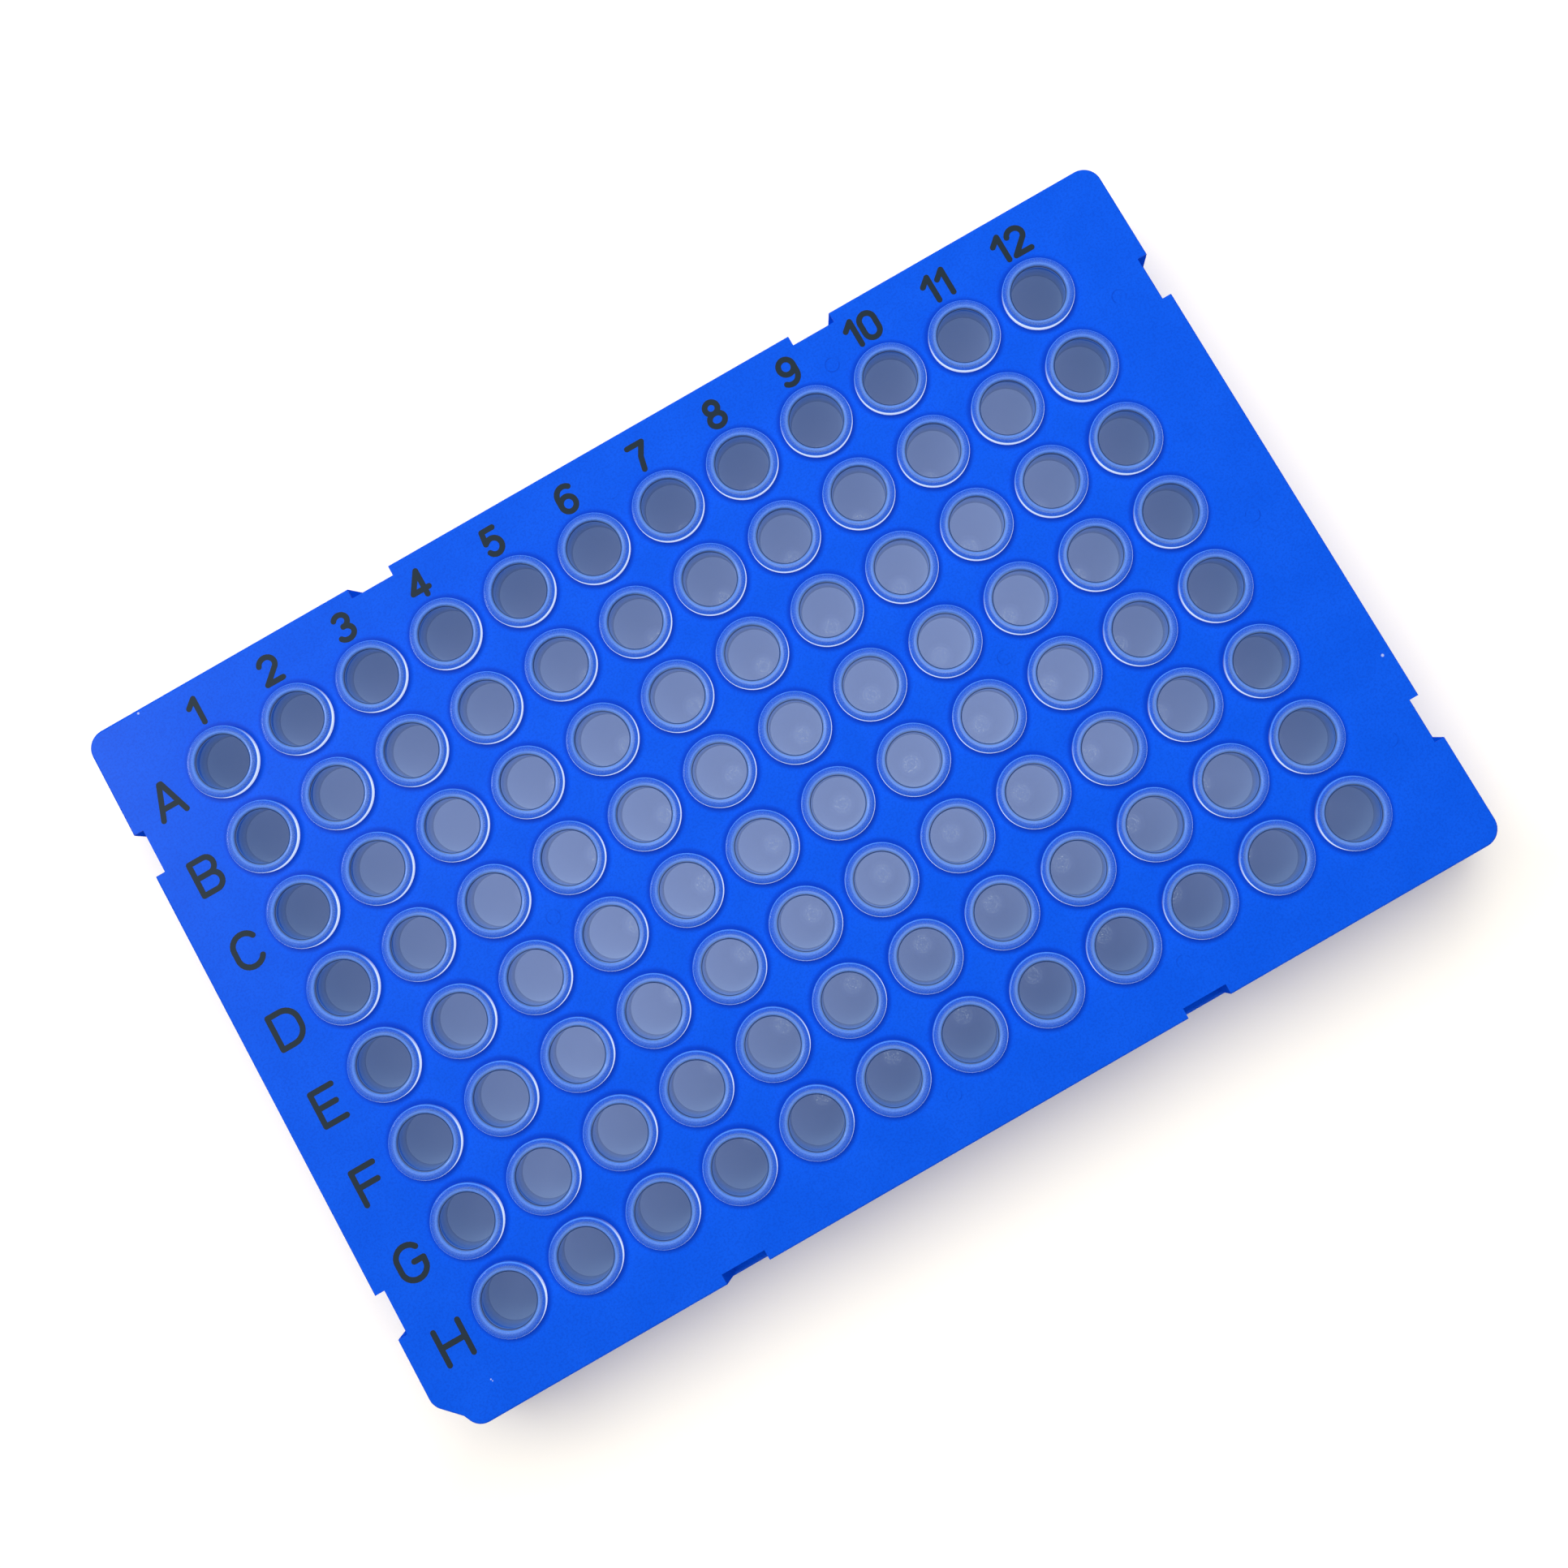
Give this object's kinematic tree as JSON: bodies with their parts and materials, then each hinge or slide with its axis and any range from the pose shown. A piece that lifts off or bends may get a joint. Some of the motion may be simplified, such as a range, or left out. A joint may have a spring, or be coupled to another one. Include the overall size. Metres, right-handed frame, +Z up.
{
  "type": "well plate",
  "caption": "Fully skirted cycler plate: a rigid blue frame with clear conical wells moulded through its deck, one corner cut for orientation.",
  "frame": {"origin": "centre of the base, on the plane the plate stands on", "axes": "+X from column 1 to column 12, +Y towards row A, +Z up out of the wells"},
  "size_m": [0.1278, 0.0854, 0.0161],
  "materials": {
    "blue_frame": "satin moulded, fine even grain",
    "clear_well": "thin clear polypropylene, smooth"
  },
  "bodies": {
    "root": {"frame": "blue_frame", "well_row_a": "clear_well", "well_row_b": "clear_well", "well_row_c": "clear_well", "well_row_d": "clear_well", "well_row_e": "clear_well", "well_row_f": "clear_well", "well_row_g": "clear_well", "well_row_h": "clear_well"}
  },
  "joints": []
}
